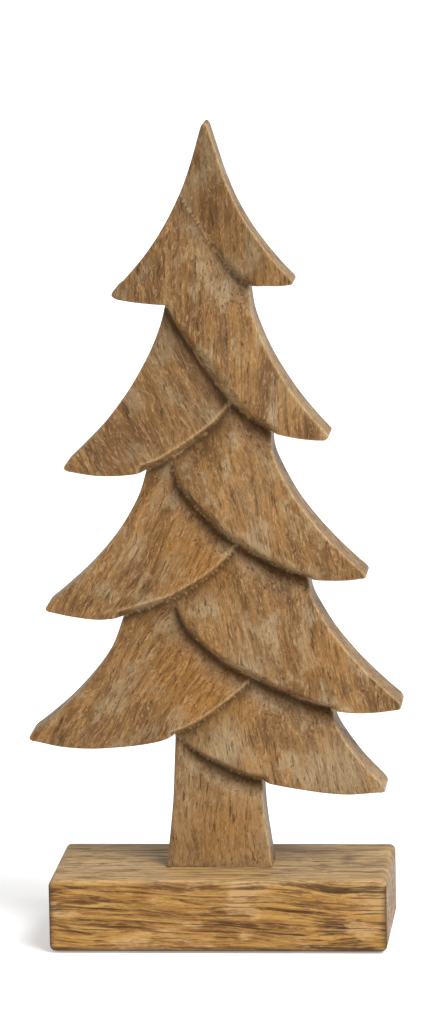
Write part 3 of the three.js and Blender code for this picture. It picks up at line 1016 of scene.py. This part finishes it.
def make_block():
    """The block that the tree stands on, with a counterbored hole for each screw."""
    outline = block_outline()
    ease = np.full(len(outline), BLOCK_FACE_EASE)

    def front_of(points):
        return block_low[1] + np.abs(tool_waves(points * 0.6)) * 0.5

    points, faces, _ = rounded_slab(
        outline, ease, front_of, block_high[1], [], BLOCK_STEP, BLOCK_STEP)
    obj = mesh_object("wood_block", points, faces)
    for x in screw_places:
        cut(obj, turned("counterbore", sink_profile(), (x, 0, 0)))
    obj.data.set_sharp_from_angle(angle=math.radians(40))
    places, corner_vertex, _, _ = corner_points(obj)
    give(obj, "grain", "FLOAT_VECTOR", "CORNER", block_grain(places)[corner_vertex])
    block_tints(obj, places)
    obj.data.materials.append(wood(
        "block_wood", dark=colour("54330f"), mid=colour("906730"), light=colour("ad8544"),
        grey=colour("c0a070"), streak=0.9, curl=0.3, pores=0.6, cracks=0.85))
    return obj


# ---- screws and pads ----


def sink_profile():
    """The counterbore, the conical seat of the head and the hole above it, as one tool."""
    seat = screw_seat + SEAT_GAP
    throat = screw_seat + HEAD_HEIGHT + SEAT_GAP
    mouth = SINK_RADIUS + SINK_BEVEL
    return [(mouth, block_low[2] - 1), (mouth, block_low[2]),
            (SINK_RADIUS, block_low[2] + SINK_BEVEL), (SINK_RADIUS, seat), (HOLE_RADIUS, throat),
            (HOLE_RADIUS, BLOCK_TOP + 1)]


def screw_radius(height):
    """Radius of a screw without its thread."""
    end = screw_end - screw_seat
    heights = (0, HEAD_RIM, HEAD_HEIGHT, THREAD_FROM - 1, THREAD_FROM, end - POINT_LENGTH, end)
    radii = (head_radius - 0.1, head_radius, SHANK_RADIUS, SHANK_RADIUS, CORE_RADIUS, CORE_RADIUS,
             0.05)
    return float(np.interp(height, heights, radii))


def threaded(radius, height, angles):
    """Radius of a screw around one ring, with the ridge of its thread where it has one."""
    end = screw_end - screw_seat
    turn = (height / THREAD_PITCH - angles / math.tau) % 1
    ridge = np.clip(1 - np.abs(turn - 0.5) / 0.3, 0, 1)
    fade = np.clip(height - THREAD_FROM, 0, 1) * np.clip((end - height) / POINT_LENGTH, 0, 1)
    return radius + (SHANK_RADIUS - CORE_RADIUS) * ridge * fade


def make_screw(node):
    """A countersunk wood screw, point up, with a cross slot in the underside of its head."""
    low, high = node_box(node)
    at = ((low[0] + high[0]) / 2, (low[1] + high[1]) / 2, low[2])
    heights = np.arange(0, high[2] - low[2] + 0.01, SCREW_STEP)
    profile = [(screw_radius(height), height) for height in heights]
    obj = turned(node + "_detailed", profile, at, SCREW_SIDES, threaded)
    for turn in (0, math.pi / 2):
        mouth, end = (SLOT_LENGTH, SLOT_WIDTH), (SLOT_LENGTH / 2, 0.7 * SLOT_WIDTH)
        cut(obj, wedge("slot", mouth, end, SLOT_DEPTH, turn + math.radians(SLOT_TURN), at))
    obj.data.set_sharp_from_angle(angle=math.radians(35))
    return obj


def make_pad(node):
    """A felt disc with a ragged rim and loose fibres."""
    low, high = node_box(node)
    centre = (low + high) / 2
    radius, thick = (high[0] - low[0]) / 2, high[2] - low[2]
    rows = [(share * (radius - 0.6), 0.02 * thick) for share in np.linspace(0.1, 1, 9)]
    for turn in np.linspace(0, math.pi, 8):
        rows.append((radius - 0.6 + 0.3 * math.sin(turn), thick * (0.5 - 0.48 * math.cos(turn))))
    rows += [(share * (radius - 0.6), 0.98 * thick) for share in (0.9, 0.5, 0.1)]

    def ragged(ring, height, angles):
        return ring * (1 - 0.02 * random.random(len(angles)))

    disc = turned(node + "_detailed", rows, (centre[0], centre[1], low[2]), PAD_SIDES, ragged)
    vertices, faces = fibres(radius, thick)
    loose = mesh_object(node + "_fibres", vertices + [centre[0], centre[1], low[2]], faces)
    return [disc, loose]


SPIKE_FACES = ((0, 1, 2), (0, 3, 1), (1, 3, 2), (2, 3, 0))


def fibres(radius, thick):
    """Short bent hairs around the rim of a pad, each a thin three-sided spike."""
    points, faces = [], []
    for _ in range(PAD_FIBRES):
        angle = random.uniform(0, math.tau)
        out = np.array([math.cos(angle), math.sin(angle), 0])
        along = np.array([-math.sin(angle), math.cos(angle), 0])
        root = out * (radius - 0.6) + [0, 0, random.uniform(0.2, 0.8) * thick]
        tip = root + out * random.uniform(0.3, 0.55) + along * random.uniform(-0.9, 0.9)
        tip[2] = np.clip(tip[2] + random.uniform(-0.2, 0.2), 0.08 * thick, 0.92 * thick)
        start = len(points)
        side = 0.04
        points += [root + along * side, root - along * side, root + [0, 0, 1.5 * side], tip]
        faces += [tuple(start + k for k in face) for face in SPIKE_FACES]
    return np.array(points), faces


def zinc():
    """Zinc plated steel, slightly yellow, with turning marks and dull spots."""
    s = Shader("zinc_steel")
    place = s.stretched(s.place(), (1 / MM, 1 / MM, 1 / MM))
    marks = s.noise(s.stretched(place, (0.4, 0.4, 6.0)), detail=3)
    spots = s.noise(s.stretched(place, (0.9, 0.9, 0.9)), detail=4)
    body = s.mix(s.between(spots, 0.35, 0.65), colour("b9b49f"), colour("d2cfc4"))
    body = s.mix(s.between(marks, 0.5, 0.8, 0, 0.3), body, colour("8f8a7c"))
    s.put(s.surface.inputs["Base Color"], body)
    s.surface.inputs["Metallic"].default_value = 1.0
    s.put(s.surface.inputs["Roughness"], s.between(spots, 0.3, 0.7, 0.25, 0.5))
    s.bump(marks, 0.3, 0.05 * MM)
    return s.material


def felt():
    """Brown pressed felt."""
    s = Shader("brown_felt")
    place = s.stretched(s.place(), (1 / MM, 1 / MM, 1 / MM))
    hairs = s.noise(s.stretched(place, (1.6, 3.2, 3.2)), detail=4, rough=0.7, twist=2.0)
    clouds = s.noise(s.stretched(place, (0.3, 0.3, 0.3)), detail=3)
    body = s.mix(s.between(hairs, 0.35, 0.65), colour("2f241b"), colour("5d4b3b"))
    body = s.mix(s.between(clouds, 0.4, 0.7, 0, 0.4), body, colour("44362a"))
    s.put(s.surface.inputs["Base Color"], body)
    s.put(s.surface.inputs["Roughness"], s.between(hairs, 0.3, 0.7, 0.85, 1.0))
    s.surface.inputs["Sheen Weight"].default_value = 0.4
    s.bump(hairs, 0.8, 0.2 * MM)
    return s.material


# ---- camera, light and floor ----


def make_camera():
    """A long lens, a little to the right of the middle and above it, as the photo was taken."""
    azimuth, elevation, roll = (math.radians(a) for a in
                                (CAMERA_AZIMUTH, CAMERA_ELEVATION, CAMERA_ROLL))
    back = Vector((math.sin(azimuth) * math.cos(elevation),
                   -math.cos(azimuth) * math.cos(elevation), math.sin(elevation)))
    right = Vector((math.cos(azimuth), math.sin(azimuth), 0))
    up = back.cross(right)
    right, up = (right * math.cos(roll) + up * math.sin(roll),
                 up * math.cos(roll) - right * math.sin(roll))
    data = bpy.data.cameras.new("camera")
    data.lens = CAMERA_LENS
    data.clip_end = 100
    camera = bpy.data.objects.new("camera", data)
    place = (Vector(CAMERA_TARGET) + back * CAMERA_DISTANCE) * MM
    camera.matrix_world = Matrix.Translation(place) @ Matrix((right, up, back)).transposed().to_4x4()
    bpy.context.scene.collection.objects.link(camera)
    bpy.context.scene.camera = camera


def make_light():
    """An even white sky and one broad sun from the front right."""
    world = bpy.data.worlds.new("world")
    world.use_nodes = True
    world.node_tree.nodes["Background"].inputs["Color"].default_value = (1, 1, 1, 1)
    world.node_tree.nodes["Background"].inputs["Strength"].default_value = WORLD_STRENGTH
    bpy.context.scene.world = world
    data = bpy.data.lights.new("key", "SUN")
    data.energy = SUN_STRENGTH
    data.angle = math.radians(SUN_SPREAD)
    key = bpy.data.objects.new("key", data)
    key.rotation_mode = "QUATERNION"
    key.rotation_quaternion = Vector(SUN_FROM).to_track_quat("Z", "Y")
    bpy.context.scene.collection.objects.link(key)


def make_floor():
    """A white floor, which shines a little so that it fades into the sky."""
    mesh = bpy.data.meshes.new("floor")
    half = FLOOR_HALF
    mesh.from_pydata([(-half, -half, 0), (half, -half, 0), (half, half, 0), (-half, half, 0)],
                     [], [(0, 1, 2, 3)])
    floor = bpy.data.objects.new("floor", mesh)
    bpy.context.scene.collection.objects.link(floor)
    s = Shader("floor")
    s.surface.inputs["Base Color"].default_value = (0.92, 0.92, 0.92, 1)
    s.surface.inputs["Roughness"].default_value = 0.9
    s.surface.inputs["Emission Color"].default_value = (1, 1, 1, 1)
    s.surface.inputs["Emission Strength"].default_value = FLOOR_GLOW
    floor.data.materials.append(s.material)


def stand_in(piece, node):
    """Puts a piece in the frame in place of a CAD node."""
    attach(piece, "root")
    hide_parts(node)


make_camera()
make_light()
make_floor()
stand_in(make_tree(), "tree")
stand_in(make_block(), "base_block")
steel = zinc()
for node in SCREWS:
    screw = make_screw(node)
    screw.data.materials.append(steel)
    stand_in(screw, node)
pad_felt = felt()
for node in PADS:
    for piece in make_pad(node):
        piece.data.materials.append(pad_felt)
        stand_in(piece, node)

bpy.context.scene.view_settings.view_transform = "Standard"
